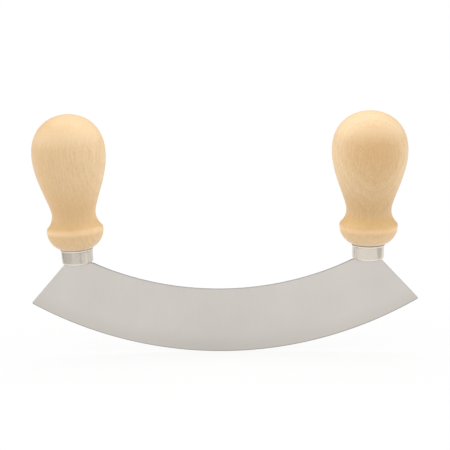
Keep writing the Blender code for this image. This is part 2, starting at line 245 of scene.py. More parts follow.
class Board:
    """A node tree with short ways to add nodes and wire them up."""

    def __init__(self, tree: bpy.types.NodeTree) -> None:
        """Keep the tree that the nodes go into."""
        self.tree = tree

    def plug(self, socket: Socket, value: object) -> None:
        """Give an input a link or a fixed value.

        Args:
            socket: The input.
            value: Another node's output to link, or the value to set.
        """
        if isinstance(value, Socket):
            self.tree.links.new(value, socket)
        else:
            socket.default_value = value

    def feed(self, node: bpy.types.Node, inputs: dict[str | int, object]) -> None:
        """Give a node's inputs, by name or number, their links or fixed values."""
        for key, value in inputs.items():
            self.plug(node.inputs[key], value)

    def node(self, kind: str, inputs: dict | None = None, **settings: object) -> bpy.types.Node:
        """Add a node.

        Args:
            kind: The node's type without its ShaderNode prefix.
            inputs: Values or links by the input's name or number.
            **settings: The node's own properties.

        Returns:
            The new node.
        """
        made = self.tree.nodes.new(f"ShaderNode{kind}")
        for name, value in settings.items():
            setattr(made, name, value)
        self.feed(made, inputs or {})
        return made

    def here(self, axes: str = "Object") -> Socket:
        """Find the point that is looked at, in the piece's own axes or in others."""
        return self.node("TexCoord").outputs[axes]

    def split(self, vector: object) -> tuple[Socket, ...]:
        """Take a vector apart into X, Y and Z."""
        return tuple(self.node("SeparateXYZ", {"Vector": vector}).outputs)

    def combine(self, x: object, y: object, z: object) -> Socket:
        """Join three numbers into a vector."""
        return self.node("CombineXYZ", {"X": x, "Y": y, "Z": z}).outputs[0]

    def math(self, operation: str, *values: object) -> Socket:
        """Add a Math node and give its result."""
        return self.node("Math", dict(enumerate(values)), operation=operation).outputs[0]

    def vector(self, operation: str, *values: object) -> Socket:
        """Add a Vector Math node and give its vector."""
        return self.node("VectorMath", dict(enumerate(values)), operation=operation).outputs[0]

    def length(self, x: object, y: object) -> Socket:
        """Measure a flat vector."""
        return self.node("VectorMath", {0: self.combine(x, y, 0.0)}, operation="LENGTH").outputs["Value"]

    def heading(self, x: object, y: object) -> Socket:
        """Find the turn about the vertical, in radians from the camera's side over the right."""
        return self.math("ARCTAN2", x, self.math("MULTIPLY", y, -1.0))

    def rise(self, value: object, low: object, high: object) -> Socket:
        """Climb smoothly from 0 where the value is low to 1 where it is high."""
        inputs = {"Value": value, "From Min": low, "From Max": high}
        return self.node("MapRange", inputs, interpolation_type="SMOOTHSTEP").outputs["Result"]

    def cut(self, value: object, middle: object, softness: object) -> Socket:
        """Climb smoothly from 0 to 1 about a middle value."""
        low, high = (self.math(operation, middle, softness) for operation in ("SUBTRACT", "ADD"))
        return self.rise(value, low, high)

    def between(self, mask: object, low: float, high: float) -> Socket:
        """Turn a 0 to 1 mask into a number between two limits."""
        inputs = {"Value": mask, "To Min": low, "To Max": high}
        return self.node("MapRange", inputs).outputs["Result"]

    def mix(self, factor: object, first: object, second: object) -> Socket:
        """Blend two colours.

        Args:
            factor: How much of the second one shows.
            first: The colour below.
            second: The colour on top.

        Returns:
            The blend's output.
        """
        blend = self.node("Mix", data_type="RGBA")
        ports = {port.identifier: port for port in (*blend.inputs, *blend.outputs)}
        self.plug(ports["Factor_Float"], factor)
        self.plug(ports["A_Color"], first)
        self.plug(ports["B_Color"], second)
        return ports["Result_Color"]

    def layers(self, tone: object, *coats: tuple[object, object, Colour]) -> Socket:
        """Lay colours over a tone, one after the other.

        Args:
            tone: The colour below.
            *coats: The mask, the strength and the colour of each one.

        Returns:
            The output of the last one.
        """
        for mask, strength, colour in coats:
            tone = self.mix(self.math("MULTIPLY", mask, strength), tone, colour)
        return tone

    def ramp(self, position: object, stops: Stops) -> Socket:
        """Look a number up on a smooth curve of grey values.

        Args:
            position: The number, from 0 to 1.
            stops: The curve's positions and values, in order.

        Returns:
            The value's output.
        """
        ramp = self.node("ValToRGB", {"Fac": position})
        ramp.color_ramp.interpolation = "EASE"
        elements = ramp.color_ramp.elements
        while len(elements) < len(stops):
            elements.new(1.0)
        for element, (place, value) in zip(elements, stops):
            element.position = place
            element.color = grey(value)
        return ramp.outputs["Color"]

    def noise(self, vector: object, scale: object, detail: float, roughness: float) -> Socket:
        """Add a noise texture and give its value, which lies about 0.5."""
        inputs = {"Vector": vector, "Scale": scale, "Detail": detail, "Roughness": roughness}
        return self.node("TexNoise", inputs).outputs[0]

    def rays(self) -> tuple[Socket, Socket]:
        """Sort the rays that arrive.

        Returns:
            1 for the camera's own, and 1 for those that metal mirrors or glass lets through.
        """
        path = self.node("LightPath").outputs
        passed_on = self.math("MAXIMUM", path["Is Glossy Ray"], path["Is Transmission Ray"])
        return path["Is Camera Ray"], passed_on


class Surface(Board):
    """The node tree of a new material, with its Principled BSDF at the end."""

    def __init__(self, name: str) -> None:
        """Start the material.

        Args:
            name: The material's name.
        """
        self.material = bpy.data.materials.new(name)
        self.material.use_nodes = True
        super().__init__(self.material.node_tree)

    def finish(self, inputs: dict[str, object]) -> bpy.types.Material:
        """Give the shader its inputs and hand the material over."""
        self.feed(self.tree.nodes["Principled BSDF"], inputs)
        return self.material


class Effect:
    """A shader node group that is built once and placed in each material with its own values.

    A subclass names its inputs and outputs and wires them up. A vector input has None as its default.
    """

    name: str
    inputs: dict[str, float | None]
    outputs: tuple[str, ...]

    def wire(self, board: Board, given: Sockets) -> Sockets:
        """Wire the group up in its own tree, from what comes in by name to what goes out by name."""
        raise NotImplementedError

    def tree(self) -> bpy.types.NodeTree:
        """Find the group, or build it the first time.

        Returns:
            The group's node tree.
        """
        known = bpy.data.node_groups.get(self.name)
        if known is not None:
            return known
        tree = bpy.data.node_groups.new(self.name, "ShaderNodeTree")
        for name, default in self.inputs.items():
            kind = "NodeSocketVector" if default is None else "NodeSocketFloat"
            socket = tree.interface.new_socket(name, in_out="INPUT", socket_type=kind)
            if default is not None:
                socket.default_value = default
        for name in self.outputs:
            tree.interface.new_socket(name, in_out="OUTPUT", socket_type="NodeSocketFloat")
        entry = tree.nodes.new("NodeGroupInput")
        made = self.wire(Board(tree), {port.name: port for port in entry.outputs if port.name})
        leave = tree.nodes.new("NodeGroupOutput")
        for name, socket in made.items():
            tree.links.new(socket, leave.inputs[name])
        return tree

    def place(self, board: Board, **values: object) -> Sockets:
        """Put the group into a material.

        Args:
            board: The material's tree.
            **values: Links or numbers for the inputs, with underscores for spaces.

        Returns:
            The group's outputs by name.
        """
        inputs = {name.replace("_", " "): value for name, value in values.items()}
        placed = board.node("Group", inputs, node_tree=self.tree())
        return {port.name: port for port in placed.outputs}


class Streaks(Effect):
    """Fine lines along Z, from the fibres of wood to the marks of a polishing belt."""

    name = "fine streaks"
    inputs = {"Vector": None, "Width mm": 0.3, "Length mm": 5.0, "Threshold": 0.5, "Softness": 0.2}
    outputs = ("Mask", "Relief")
    detail = 3.0
    detail_strength = 0.55

    def wire(self, board: Board, given: Sockets) -> Sockets:
        """Stretch a noise along Z and cut it at the threshold.

        Args:
            board: The group's own tree.
            given: The vector, the streak's size and where it starts to show.

        Returns:
            The mask of the streaks and the noise that they come from.
        """
        across = board.math("DIVIDE", 1 / MM, given["Width mm"])
        along = board.math("DIVIDE", 1 / MM, given["Length mm"])
        stretched = board.vector("MULTIPLY", given["Vector"], board.combine(across, across, along))
        relief = board.noise(stretched, 1.0, self.detail, self.detail_strength)
        return {"Mask": board.cut(relief, given["Threshold"], given["Softness"]), "Relief": relief}


class Patches(Effect):
    """Broad soft patches, from the tone of the wood to the film that hands leave on metal."""

    name = "soft patches"
    inputs = {"Vector": None, "Size mm": 15.0, "Contrast": 0.2}
    outputs = ("Mask",)
    detail = 2.0
    detail_strength = 0.5

    def wire(self, board: Board, given: Sockets) -> Sockets:
        """Cut a coarse noise softly about its middle.

        Args:
            board: The group's own tree.
            given: The vector, the patches' size and how hard their edges are.

        Returns:
            The mask of the patches.
        """
        scale = board.math("DIVIDE", 1 / MM, given["Size mm"])
        relief = board.noise(given["Vector"], scale, self.detail, self.detail_strength)
        softness = board.math("SUBTRACT", MIDDLE, given["Contrast"])
        return {"Mask": board.cut(relief, MIDDLE, softness)}


class Band(Effect):
    """A soft band about one value, for a tint, a grimy seam with painted shade, or a painted highlight on
    a rim.
    """

    name = "soft band"
    inputs = {"Value": 0.0, "Middle": 0.0, "Half width": 1.0}
    outputs = ("Mask",)

    def wire(self, board: Board, given: Sockets) -> Sockets:
        """Fall off from the band's middle to both sides.

        Args:
            board: The group's own tree.
            given: The value that is looked up, and the band's middle and half width.

        Returns:
            The mask of the band.
        """
        away = board.math("ABSOLUTE", board.math("SUBTRACT", given["Value"], given["Middle"]))
        near = board.math("DIVIDE", away, given["Half width"])
        return {"Mask": board.rise(near, 1.0, 0.0)}


class GrowthRings(Effect):
    """The yearly rings of a trunk whose pith stands beside the piece and may lean against it."""

    name = "growth rings"
    inputs = {
        "Vector": None,
        "Pith X mm": 60.0,
        "Pith Y mm": 0.0,
        "Lean": 0.0,
        "Spacing mm": 3.0,
        "Waver mm": 1.0,
    }
    outputs = ("Mask", "Distance mm")
    stretch = (1.0, 1.0, 0.3)
    waver_scale = 60.0
    waver_detail = 3.0
    waver_detail_strength = 0.55
    waver_gain = 4.0
    late_from = 0.25
    late_peak = 0.95

    def wire(self, board: Board, given: Sockets) -> Sockets:
        """Count rings by the wavering distance from the pith.

        Args:
            board: The group's own tree.
            given: The vector, the pith's place and lean, the rings' spacing and how far they waver.

        Returns:
            The mask of the late wood, which darkens slowly and ends sharply, and the distance.
        """
        slow = board.vector("MULTIPLY", given["Vector"], self.stretch)
        noise = board.noise(slow, self.waver_scale, self.waver_detail, self.waver_detail_strength)
        waver = board.math("SUBTRACT", noise, MIDDLE)
        x, y, z = (board.math("MULTIPLY", part, 1 / MM) for part in board.split(given["Vector"]))
        across = board.math("SUBTRACT", x, given["Pith X mm"])
        deep = board.math("SUBTRACT", y, given["Pith Y mm"])
        tilt = board.math("MULTIPLY", z, given["Lean"])
        from_pith = board.length(across, board.math("SUBTRACT", deep, tilt))
        pushed = board.math("MULTIPLY", waver, given["Waver mm"])
        distance = board.math("ADD", from_pith, board.math("MULTIPLY", pushed, self.waver_gain))
        phase = board.math("FRACT", board.math("DIVIDE", distance, given["Spacing mm"]))
        slow_rise = board.rise(phase, self.late_from, self.late_peak)
        quick_fall = board.rise(phase, 1.0, self.late_peak)
        return {"Mask": board.math("MULTIPLY", slow_rise, quick_fall), "Distance mm": distance}


STREAKS, PATCHES, BAND, RINGS = Streaks(), Patches(), Band(), GrowthRings()


# Finishes


@dataclass(frozen=True)
class Marks:
    """Fine streaks of one kind, with sizes in millimetres and how strongly they show."""

    width: float
    length: float
    threshold: float
    softness: float
    strength: float

    def place(self, board: Board, vector: Socket) -> Sockets:
        """Put the streaks into a material.

        Args:
            board: The material's tree.
            vector: The point that is looked up, with the streaks along its Z.

        Returns:
            Their mask and their relief, by name.
        """
        return STREAKS.place(
            board,
            Vector=vector,
            Width_mm=self.width,
            Length_mm=self.length,
            Threshold=self.threshold,
            Softness=self.softness,
        )


@dataclass(frozen=True)
class Clouds:
    """Soft patches of one kind, with their size in millimetres and how strongly they show."""

    size: float
    contrast: float
    strength: float

    def place(self, board: Board, vector: Socket) -> Socket:
        """Put the patches into a material and give their mask."""
        return PATCHES.place(board, Vector=vector, Size_mm=self.size, Contrast=self.contrast)["Mask"]


@dataclass(frozen=True)
class Stripe:
    """A soft stripe round a piece, in millimetres, and how strongly it shows."""

    half_width: float
    strength: float

    def place(self, board: Board, level: Socket, middle: float) -> Socket:
        """Put the stripe into a material at one height and give its mask."""
        ends = {"Middle": middle * MM, "Half_width": self.half_width * MM}
        return BAND.place(board, Value=level, **ends)["Mask"]


@dataclass(frozen=True)
class Rim:
    """A line along an edge: how wide it is solid and where it ends, in millimetres, and its strength."""

    solid: float
    end: float
    strength: float

    def place(self, board: Board, distance: Socket) -> Socket:
        """Put the line into a material and give its mask."""
        return board.rise(distance, self.end * MM, self.solid * MM)


@dataclass(frozen=True)
class Upright:
    """A stripe of painted reflection up a ferrule, with its turn from the front to the right and its width
    in degrees.
    """

    turn: float
    half_width: float
    strength: float

    def place(self, board: Board, here: Socket) -> Socket:
        """Put the stripe into a material.

        Args:
            board: The material's tree.
            here: The point on the ferrule.

        Returns:
            The stripe's mask.
        """
        x, y, _ = board.split(here)
        ends = {"Middle": math.radians(self.turn), "Half_width": math.radians(self.half_width)}
        return BAND.place(board, Value=board.heading(x, y), **ends)["Mask"]


@dataclass(frozen=True)
class Relief:
    """A fine relief: how much of it shows, and how deep it is in millimetres."""

    strength: float
    depth: float

    def place(self, board: Board, height: Socket, **under: Socket) -> Socket:
        """Put the relief into a material, over the Normal of a coarser one if there is one."""
        inputs = {"Height": height, "Strength": self.strength, "Distance": self.depth * MM}
        return board.node("Bump", inputs | under).outputs[0]


@dataclass(frozen=True)
class SteelFinish:
    """Stainless steel, polished across the blade on a fine belt and ground along the edge; painted shade
    darkens the spine and, with the honing finish, the edge.
    """

    colour: Colour = (0.684, 0.648, 0.606, 1.0)
    shade: Colour = (0.595, 0.560, 0.520, 1.0)
    ground: Colour = (0.620, 0.582, 0.540, 1.0)
    # painted shade: the colour laid on the spine's top face and rim
    spine_shade: Colour = (0.290, 0.285, 0.275, 1.0)
    # colour along the cutting edge: partly the finish left by honing, partly painted shade
    honed_and_shaded: Colour = (0.400, 0.385, 0.360, 1.0)
    polish: Marks = Marks(width=0.18, length=14.0, threshold=0.50, softness=0.20, strength=0.22)
    film: Clouds = Clouds(size=32.0, contrast=0.25, strength=0.28)
    # painted shade along the spine, full up to its first width and gone at its second
    spine_shade_line: Rim = Rim(solid=0.15, end=0.45, strength=0.55)
    # the line along the cutting edge, partly honing finish and partly painted shade
    hone_line_and_shade: Rim = Rim(solid=0.30, end=0.75, strength=0.95)
    roughness: tuple[float, float] = (0.30, 0.36)
    film_roughness: float = 0.05
    lines: Relief = Relief(strength=0.5, depth=0.004)

    def material(
        self, edge_radius: float, grind_height: float, spine_radius: float, spine_height: float
    ) -> bpy.types.Material:
        """Build the material.

        Args:
            edge_radius: The radius of the cutting edge, whose centre is that far above the origin.
            grind_height: How far the grind reaches up from the edge.
            spine_radius: The radius of the spine's arc.
            spine_height: The height of the middle of the spine.

        Returns:
            The finished material.
        """
        board = Surface("satin_stainless_steel")
        x, y, z = board.split(board.here())
        below = board.math("SUBTRACT", edge_radius * MM, z)
        depth = board.math("SUBTRACT", edge_radius * MM, board.length(x, below))
        above = board.math("SUBTRACT", (spine_height + spine_radius) * MM, z)
        from_spine = board.math("SUBTRACT", board.length(x, above), spine_radius * MM)
        along = board.math("MULTIPLY", board.math("ARCTAN2", x, below), edge_radius * MM)
        unrolled = board.combine(along, y, depth)
        polish = self.polish.place(board, unrolled)
        film = self.film.place(board, unrolled)
        sheet = board.layers(
            self.colour,
            (polish["Mask"], self.polish.strength, self.shade),
            (film, self.film.strength, self.shade),
        )
        tone = board.layers(
            board.mix(board.rise(depth, grind_height * MM, 0.0), sheet, self.ground),
            # painted shade along the spine
            (self.spine_shade_line.place(board, from_spine), self.spine_shade_line.strength, self.spine_shade),
            # the cutting edge's line: partly honing finish, partly painted shade
            (self.hone_line_and_shade.place(board, depth), self.hone_line_and_shade.strength, self.honed_and_shaded),
        )
        scratched = board.between(polish["Mask"], *self.roughness)
        rough = board.math("ADD", scratched, board.between(film, 0.0, self.film_roughness))
        normal = self.lines.place(board, polish["Relief"])
        return board.finish({"Base Color": tone, "Metallic": 1.0, "Roughness": rough, "Normal": normal})


@dataclass(frozen=True)
class NickelFinish:
    """Warm nickel plate over a drawn cup, with a film that dulls it, a darker line under its bead, painted
    highlights on its rims and painted reflections up its side.
    """

    name: str
    film: float
    # painted dark reflections: shade-coloured stripes up the cup where it mirrors dark surroundings
    painted_dark_reflections: tuple[Upright, ...] = ()
    # painted highlight reflections: stripes up the cup in the highlight colour
    polish: tuple[Upright, ...] = ()
    colour: Colour = (0.730, 0.672, 0.590, 1.0)
    shade: Colour = (0.400, 0.365, 0.315, 1.0)
    # painted highlight colour for the rims and the lighter reflection stripes
    painted_highlight: Colour = (0.920, 0.850, 0.760, 1.0)
    # colour of the darker line just under the rolled bead
    under_bead_dark: Colour = (0.300, 0.265, 0.225, 1.0)
    uneven: Clouds = Clouds(size=4.0, contrast=0.15, strength=0.40)
    drawn: Marks = Marks(width=0.30, length=7.0, threshold=0.52, softness=0.12, strength=0.10)
    groove_width: float = 0.45
    groove_drop: float = 0.15
    # painted highlight round the cup's foot
    painted_foot_highlight: Stripe = Stripe(half_width=1.2, strength=0.80)
    foot_rise: float = 0.5
    # painted highlight round the rolled bead
    painted_bead_highlight: Stripe = Stripe(half_width=0.6, strength=0.80)
    roughness: tuple[float, float] = (0.08, 0.14)
    ripple_size: float = 6.0
    ripple_detail: float = 1.0
    ripple_detail_strength: float = 0.4
    dents: Relief = Relief(strength=0.6, depth=0.08)
    lines: Relief = Relief(strength=0.3, depth=0.003)

    def material(self, base: float, height: float, bead: float) -> bpy.types.Material:
        """Build the material.

        Args:
            base: The height of the cup's underside above the blade's shoulder.
            height: The cup's own height.
            bead: The height of the rolled bead under its rim.

        Returns:
            The finished material.
        """
        board = Surface(self.name)
        here = board.here()
        level = board.split(here)[2]
        uneven = self.uneven.place(board, here)
        drawn = self.drawn.place(board, here)
        share = self.uneven.strength
        dulled = board.between(uneven, self.film * (1 - share), self.film * (1 + share))
        # painted reflections, dark and light, up the cup's side
        painted_reflections = [(stripe, self.shade) for stripe in self.painted_dark_reflections]
        painted_reflections += [(stripe, self.painted_highlight) for stripe in self.polish]
        top = base + height
        rings = (
            # a darker line just under the rolled bead, as strong as the film
            (Stripe(self.groove_width, self.film), top - bead - self.groove_drop, self.under_bead_dark),
            # painted highlights round the foot and the bead
            (self.painted_foot_highlight, base + self.foot_rise, self.painted_highlight),
            (self.painted_bead_highlight, top - bead / 2, self.painted_highlight),
        )
        tone = board.layers(
            board.mix(dulled, self.colour, self.shade),
            (drawn["Mask"], self.drawn.strength, self.shade),
            *((stripe.place(board, here), stripe.strength, colour) for stripe, colour in painted_reflections),
            *((ring.place(board, level, rise), ring.strength, colour) for ring, rise, colour in rings),
        )
        scale = 1 / (self.ripple_size * MM)
        ripple = board.noise(here, scale, self.ripple_detail, self.ripple_detail_strength)
        normal = self.lines.place(board, drawn["Relief"], Normal=self.dents.place(board, ripple))
        rough = board.between(uneven, *self.roughness)
        return board.finish({"Base Color": tone, "Metallic": 1.0, "Roughness": rough, "Normal": normal})


@dataclass(frozen=True)
class BeechFinish:
    """Steamed beech, turned and sanded, under a thin clear varnish that is thicker in the neck.

    The pith's place says how the piece was sawn from the trunk, and so which way its rings show. The wood
    gets warmer from the first distance of the heart to the second. The contrast scales the rings, the
    fibres and the dark flecks. The varnish tints the neck, pools at the foot of the cove, and is rubbed
    through, a little, where the palm lies. A painted highlight runs along the bead's crest, a paler and
    greyer band lies just above the shoulder, and the seam there is grimy, with painted shade.
    """

    name: str
    pith_x: float
    pith_y: float
    lean: float
    ring_spacing: float
    shift: float
    contrast: float
    pale: Colour
    heart_from: float
    heart_to: float
    heart_strength: float
    varnish: Colour
    pooled: float
    bead_edge: float
    seam: Stripe
    late: Colour = (0.640, 0.405, 0.190, 1.0)
    warm: Colour = (0.760, 0.470, 0.205, 1.0)
    fleck: Colour = (0.470, 0.275, 0.115, 1.0)
    light: Colour = (0.900, 0.690, 0.440, 1.0)
    amber: Colour = (0.740, 0.450, 0.120, 1.0)
    # painted highlight colour along the bead's crest
    painted_crest_light: Colour = (0.985, 0.690, 0.400, 1.0)
    # paler, greyer colour for a band just above the shoulder
    pale_shoulder: Colour = (0.890, 0.710, 0.560, 1.0)
    palmed: Colour = (0.935, 0.700, 0.425, 1.0)
    # colour of the grimy seam, with painted shade
    seam_grime_and_shade: Colour = (0.200, 0.120, 0.060, 1.0)
    ring_waver: float = 1.1
    ring_strength: tuple[float, float] = (0.31, 0.10)
    patches: Clouds = Clouds(size=17.0, contrast=0.20, strength=0.26)
    clouds: Clouds = Clouds(size=6.0, contrast=0.10, strength=0.16)
    bundles: Marks = Marks(width=1.50, length=22.0, threshold=0.50, softness=0.14, strength=0.20)
    fibres: Marks = Marks(width=0.62, length=7.5, threshold=0.50, softness=0.16, strength=0.36)
    flecks: Marks = Marks(width=0.38, length=2.4, threshold=0.62, softness=0.05, strength=0.45)
    rays: Marks = Marks(width=0.55, length=2.0, threshold=0.64, softness=0.06, strength=0.30)
    neck: Stripe = Stripe(half_width=23.0, strength=0.46)
    neck_height: float = 31.5
    palm: Stripe = Stripe(half_width=8.0, strength=0.42)
    palm_height: float = 77.5
    pool_half_width: float = 5.0
    pool_height: float = 24.0
    # painted highlight along the bead's crest: its half width and its strongest strength
    edge: Stripe = Stripe(half_width=2.6, strength=0.80)
    edge_least: float = 0.50
    # the band just above the shoulder that is paler and greyer
    pale_shoulder_band: Stripe = Stripe(half_width=4.0, strength=0.55)
    roughness: tuple[float, float] = (0.46, 0.56)
    coat: tuple[float, float] = (0.16, 0.26)
    coat_roughness: float = 0.30
    grain: Relief = Relief(strength=0.35, depth=0.05)
    pores: Relief = Relief(strength=0.25, depth=-0.03)

    def figure(self, board: Board, here: Socket) -> Sockets:
        """Lay out the wood's figure.

        Args:
            board: The material's tree.
            here: The point on the handle.

        Returns:
            The masks of the rings, the heart, the patches and the streaks, and the fibres' relief.
        """
        moved = board.vector("ADD", here, (self.shift * MM,) * 3)
        rings = RINGS.place(
            board,
            Vector=here,
            Pith_X_mm=self.pith_x,
            Pith_Y_mm=self.pith_y,
            Lean=self.lean,
            Spacing_mm=self.ring_spacing,
            Waver_mm=self.ring_waver,
        )
        fibres = self.fibres.place(board, moved)
        return {
            "rings": rings["Mask"],
            "heart": board.rise(rings["Distance mm"], self.heart_from, self.heart_to),
            "patches": self.patches.place(board, moved),
            "clouds": self.clouds.place(board, moved),
            "bundles": self.bundles.place(board, moved)["Mask"],
            "fibres": fibres["Mask"],
            "fibre relief": fibres["Relief"],
            "flecks": self.flecks.place(board, moved)["Mask"],
            "rays": self.rays.place(board, here)["Mask"],
        }

    def raw(self, board: Board, figure: Sockets) -> Socket:
        """Colour the bare wood.

        Args:
            board: The material's tree.
            figure: The wood's figure.

        Returns:
            The colour before varnish and wear.
        """
        early, late = (strength * self.contrast for strength in self.ring_strength)
        return board.layers(
            self.pale,
            (figure["heart"], self.heart_strength, self.warm),
            (figure["rings"], board.between(figure["patches"], early, late), self.late),
            (figure["patches"], self.patches.strength, self.warm),
            (figure["clouds"], self.clouds.strength, self.light),
            (figure["bundles"], self.bundles.strength * self.contrast, self.late),
            (figure["fibres"], self.fibres.strength * self.contrast, self.late),
            (figure["rays"], self.rays.strength, self.light),
            (figure["flecks"], self.flecks.strength * self.contrast, self.fleck),
        )

    def material(self, shoulder: float) -> bpy.types.Material:
        """Build the material.

        Args:
            shoulder: The height of the handle's shoulder on the ferrule, above the blade's shoulder.

        Returns:
            The finished material.
        """
        board = Surface(self.name)
        here = board.here()
        level = board.split(here)[2]
        figure = self.figure(board, here)
        pool = Stripe(self.pool_half_width, self.pooled)
        # strength of the painted crest highlight, uneven with the clouds
        painted_crest_light = board.between(figure["clouds"], self.edge_least, self.edge.strength)
        rings = (
            (self.neck, self.neck_height, self.neck.strength, self.varnish),
            (pool, self.pool_height, pool.strength, self.amber),
            (self.palm, self.palm_height, self.palm.strength, self.palmed),
            # painted highlight along the bead's crest
            (self.edge, self.bead_edge, painted_crest_light, self.painted_crest_light),
            # a paler, greyer band just above the shoulder
            (self.pale_shoulder_band, shoulder, self.pale_shoulder_band.strength, self.pale_shoulder),
            # grimy seam with painted shade at the shoulder
            (self.seam, shoulder, self.seam.strength, self.seam_grime_and_shade),
        )
        coats = ((ring.place(board, level, rise), *coat) for ring, rise, *coat in rings)
        grain = self.grain.place(board, figure["fibre relief"])
        return board.finish(
            {
                "Base Color": board.layers(self.raw(board, figure), *coats),
                "Roughness": board.between(figure["fibres"], *self.roughness),
                "Coat Weight": board.between(figure["patches"], *self.coat),
                "Coat Roughness": self.coat_roughness,
                "Normal": self.pores.place(board, figure["flecks"], Normal=grain),
            }
        )


@dataclass(frozen=True)
class ResinFinish:
    """Cured amber resin with a cloudy body."""

    clear: Colour = (0.420, 0.270, 0.110, 1.0)
    cloudy: Colour = (0.560, 0.400, 0.210, 1.0)
    clouds: Clouds = Clouds(size=2.5, contrast=0.15, strength=1.0)
    roughness: tuple[float, float] = (0.22, 0.38)
    relief: Relief = Relief(strength=0.2, depth=0.05)

    def material(self) -> bpy.types.Material:
        """Build the material.

        Returns:
            The finished material.
        """
        board = Surface("cured_amber_resin")
        clouds = self.clouds.place(board, board.here())
        tone = board.layers(self.clear, (clouds, self.clouds.strength, self.cloudy))
        rough = board.between(clouds, *self.roughness)
        normal = self.relief.place(board, clouds)
        return board.finish({"Base Color": tone, "Roughness": rough, "Normal": normal})


PLATINGS = {
    Side.LEFT: NickelFinish(
        "dulled_nickel_plate",
        film=0.36,
        # painted dark reflections of the surroundings on the left cup
        painted_dark_reflections=(
            Upright(turn=-50.0, half_width=9.0, strength=0.80),
            Upright(turn=-11.7, half_width=7.0, strength=0.32),
            Upright(turn=21.5, half_width=9.0, strength=0.45),
        ),
        # a painted highlight reflection on the left cup
        polish=(Upright(turn=47.0, half_width=13.0, strength=0.36),),
    ),
    Side.RIGHT: NickelFinish("clean_nickel_plate", film=0.10),
}
WOODS = {
    Side.LEFT: BeechFinish(
        "quarter_sawn_beech",
        pith_x=-70.0,
        pith_y=12.0,
        lean=0.04,
        ring_spacing=2.1,
        shift=11.0,
        contrast=0.66,
        pale=(0.905, 0.670, 0.400, 1.0),
        heart_from=95.0,
        heart_to=60.0,
        heart_strength=0.55,
        varnish=(0.690, 0.420, 0.170, 1.0),
        pooled=0.26,
        bead_edge=21.0,
        # grimy seam with painted shade, light on the left handle
        seam=Stripe(half_width=0.4, strength=0.24),
    ),
    Side.RIGHT: BeechFinish(
        "flat_sawn_beech",
        pith_x=-9.0,
        pith_y=61.0,
        lean=0.10,
        ring_spacing=3.1,
        shift=73.0,
        contrast=0.82,
        pale=(0.922, 0.690, 0.410, 1.0),
        heart_from=80.0,
        heart_to=91.0,
        heart_strength=1.00,
        varnish=(0.560, 0.310, 0.105, 1.0),
        pooled=0.50,
        bead_edge=19.4,
        # grimy seam with painted shade, heavy on the right handle
        seam=Stripe(half_width=0.4, strength=0.90),
        # the right handle's painted crest highlight colour
        painted_crest_light=(0.985, 0.640, 0.320, 1.0),
    ),
}


# The knife


@dataclass(frozen=True)
class Seat:
    """Where the handles stand: a shoulder at each end of the blade, square to the handle's axis."""

    blade_length: float = 230.0
    blade_depth: float = 38.5
    spine_rise: float = 16.7
    inset: float = 29.3
    lean: float = math.radians(1.9)
    inner_reach: float = 9.23
    outer_reach: float = 7.9

    @property
    def up(self) -> Vector:
        """The right handle's axis in XZ."""
        return Vector((math.sin(self.lean), math.cos(self.lean)))

    def on_right(self, across: float, height: float) -> Vector:
        """Find a point of the right handle in XZ.

        Args:
            across: Its distance outward from the handle's axis.
            height: Its height above the shoulder.

        Returns:
            The point in the blade's plane.
        """
        outward = Vector((math.cos(self.lean), -math.sin(self.lean)))
        spine_end_x = self.blade_length / 2 - self.inset - self.inner_reach * outward.x
        spine_end = Vector((spine_end_x, self.blade_depth + self.spine_rise))
        return spine_end + (self.inner_reach + across) * outward + height * self.up

    def place(self, side: Side) -> Matrix:
        """Give the handle's own origin and axes in the scene.

        Args:
            side: The end of the knife.

        Returns:
            The matrix from the handle's axes to the scene's.
        """
        foot = self.on_right(0, 0) * MM
        moved = Matrix.Translation((side.value * foot.x, 0, foot.y))
        return moved @ Euler((0, side.value * self.lean, 0)).to_matrix().to_4x4()


@dataclass
class Tang:
    """The barbed tongue that each end of the blade carries up into a handle."""

    length: float = 50.24
    root_width: float = 7.4
    root_fillet: float = 1.0
    end_width: float = 5.6
    point_width: float = 2.6
    point_length: float = 1.6
    notch_radius: float = 1.1
    notch_pitch: float = 9.0
    first_notch: float = 16.0
    last_notch_margin: float = 8.0
    notch_steps: int = 8
    fillet_steps: int = 4

    def notches(self) -> list[float]:
        """List the heights of the notches' middles."""
        count = int((self.length - self.last_notch_margin - self.first_notch) / self.notch_pitch) + 1
        return [self.first_notch + self.notch_pitch * i for i in range(count)]

    def heights(self) -> list[float]:
        """List the heights where the tang's outline bends.

        Returns:
            The heights from the shoulder up.
        """
        quarter = spread(0.0, math.pi / 2, self.fillet_steps)
        fillet = [self.root_fillet * (1 - math.cos(turn)) for turn in quarter]
        half = spread(0.0, math.pi, self.notch_steps)
        bends = [middle - self.notch_radius * math.cos(turn) for middle in self.notches() for turn in half]
        return fillet + bends + [self.length - self.point_length, self.length]

    def half_width(self, height: float) -> float:
        """Measure the tang from its axis.

        Args:
            height: The height above the shoulder.

        Returns:
            Half of its width there.
        """
        taper = (self.root_width - self.end_width) / 2 / self.length
        half = self.root_width / 2 - taper * height
        below = self.root_fillet - height
        if below > 0:
            half += self.root_fillet - math.sqrt(self.root_fillet**2 - below**2)
        for middle in self.notches():
            half -= math.sqrt(max(self.notch_radius**2 - (height - middle) ** 2, 0))
        into_point = max((height - self.length + self.point_length) / self.point_length, 0)
        return half + (self.point_width / 2 - half) * into_point


@dataclass
class Column:
    """A line of the blade's face from its edge to its top, with how far the end rim rounds it off."""

    foot: Vector
    head: Vector
    end_drop: float
    in_tang: bool


